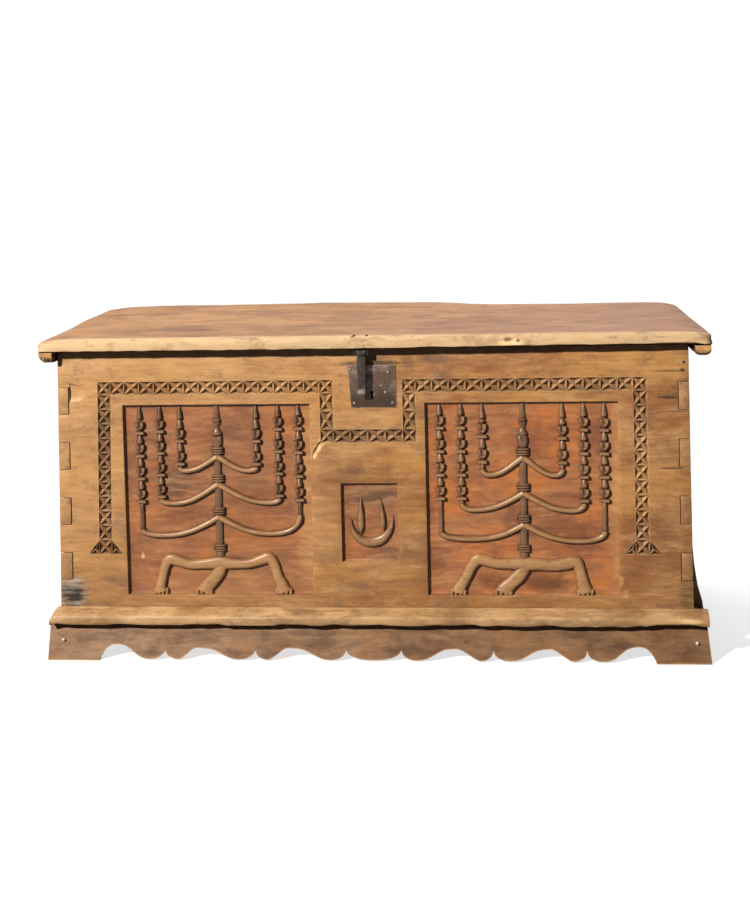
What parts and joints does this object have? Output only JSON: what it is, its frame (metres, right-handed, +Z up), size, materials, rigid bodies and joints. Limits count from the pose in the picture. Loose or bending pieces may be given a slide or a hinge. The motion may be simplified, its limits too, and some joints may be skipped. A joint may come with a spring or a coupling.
{
  "type": "carved dowry chest",
  "caption": "Boarded wooden chest with dovetailed corners, sunk panels carved with branched candlesticks, hinged lid, iron lock with a hanging hasp, and a scalloped plinth.",
  "frame": {"origin": "on the floor under the middle of the closed chest", "axes": "+X along the length, -Y towards the carved front, +Z up"},
  "size_m": [1.21, 0.5412, 0.603],
  "materials": {
    "carved_wood": "old waxed softwood, worn satin",
    "case_wood": "old waxed softwood, dull",
    "inside_wood": "bare sawn softwood",
    "base_wood": "old waxed softwood, worn edges",
    "lid_wood": "worn softwood, matt",
    "iron": "hand-forged, dark and lightly rusted"
  },
  "bodies": {
    "carcass": {"front_board": "carved_wood", "back_board": "case_wood", "end_board_left": "case_wood", "end_board_right": "case_wood", "bottom_plank_1": "inside_wood", "bottom_plank_2": "inside_wood", "bottom_plank_3": "inside_wood", "plinth_back": "inside_wood", "plinth_block_front_left": "inside_wood", "plinth_block_front_right": "inside_wood", "plinth_block_rear_left": "inside_wood", "plinth_block_rear_right": "inside_wood", "plinth_front": "base_wood", "plinth_end_left": "base_wood", "plinth_end_right": "base_wood", "moulding_front": "base_wood", "moulding_end_left": "base_wood", "moulding_end_right": "base_wood", "lock_plate": "iron", "bolt_keeper_near": "iron", "bolt_keeper_far": "iron", "hinge_leaf_left": "iron", "hinge_leaf_right": "iron", "hinge_pin_left": "iron", "hinge_pin_right": "iron"},
    "lid": {"lid_board": "lid_wood", "lid_cleat_left": "lid_wood", "lid_cleat_right": "lid_wood", "hinge_strap_left": "iron", "hinge_strap_right": "iron", "hasp_staple": "iron"},
    "hasp": {"hasp": "iron"},
    "bolt": {"lock_bolt": "iron"}
  },
  "joints": [
    {"name": "lid_hinge", "type": "hinge", "parent": "carcass", "child": "lid", "pos_m": [0, 0.26515, 0.5625], "axis": [-1, 0, 0], "range_deg": [0, 105]},
    {"name": "hasp_swing", "type": "hinge", "parent": "lid", "child": "hasp", "pos_m": [-0.011, -0.26065, 0.556], "axis": [-1, 0, 0], "range_deg": [-10, 100]},
    {"name": "bolt_slide", "type": "slide", "parent": "carcass", "child": "bolt", "axis": [-1, 0, 0], "range_m": [0, 0.012]}
  ]
}
